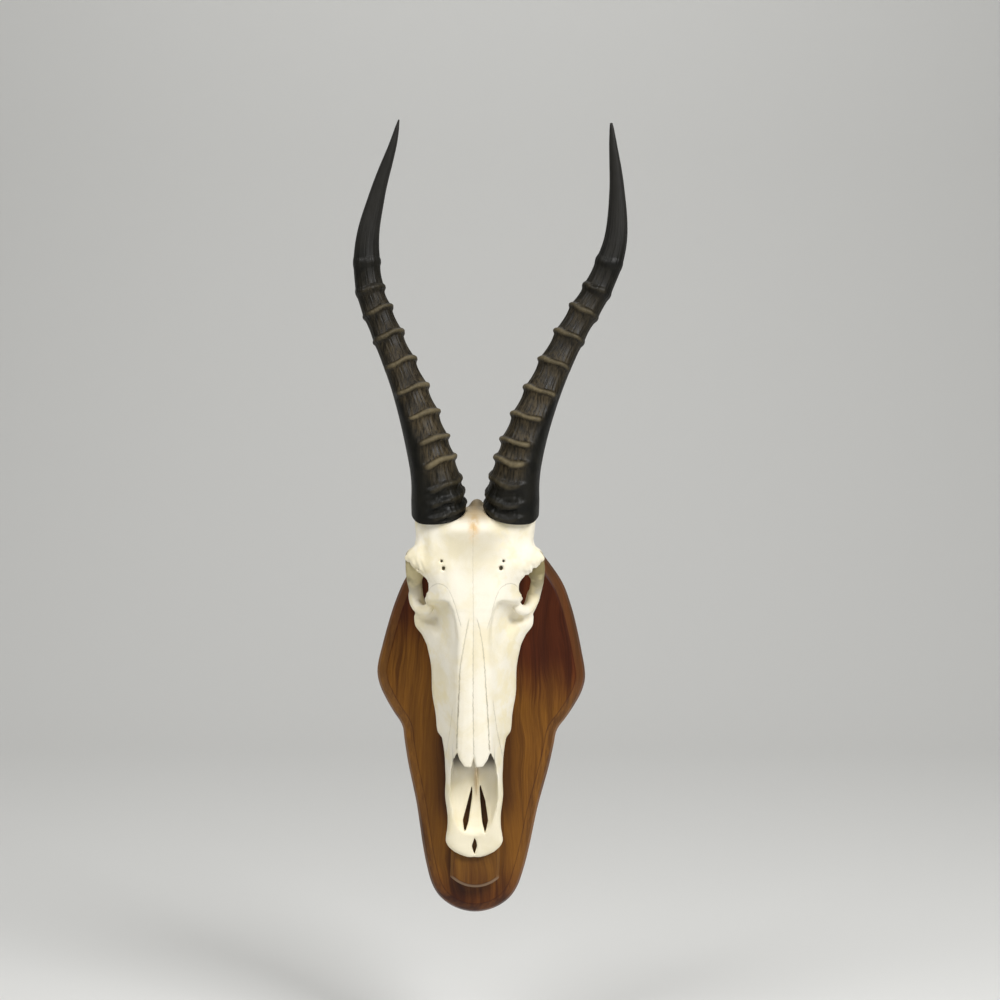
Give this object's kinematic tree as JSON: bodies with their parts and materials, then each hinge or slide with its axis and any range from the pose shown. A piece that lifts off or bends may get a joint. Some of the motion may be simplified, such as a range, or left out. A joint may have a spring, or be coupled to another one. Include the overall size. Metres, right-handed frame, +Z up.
{
  "type": "blesbok skull",
  "caption": "Bleached antelope skull with lyre-shaped ridged black horns, without its lower jaw, fixed on a bevelled wooden shield that hangs on a wall.",
  "frame": {"origin": "on the flat back of the wooden shield, on the skull's midline plane, level with the shield's widest part", "axes": "+Z up along the face towards the horn tips, +Y into the wall, +X to the viewer's right"},
  "size_m": [0.2331, 0.1314, 0.6859],
  "materials": {
    "bone": "matt, dry bleached bone",
    "horn": "satin black-brown horn with olive-tan ridges",
    "tooth": "satin enamel",
    "board_wood": "semi-gloss varnish",
    "block_wood": "semi-gloss varnish"
  },
  "bodies": {
    "root": {"skull": "bone", "horn_left": "horn", "horn_right": "horn", "tooth_left_1": "tooth", "tooth_left_2": "tooth", "tooth_left_3": "tooth", "tooth_left_4": "tooth", "tooth_left_5": "tooth", "tooth_left_6": "tooth", "tooth_right_1": "tooth", "tooth_right_2": "tooth", "tooth_right_3": "tooth", "tooth_right_4": "tooth", "tooth_right_5": "tooth", "tooth_right_6": "tooth", "plaque": "board_wood", "nose_block": "block_wood"}
  },
  "joints": []
}
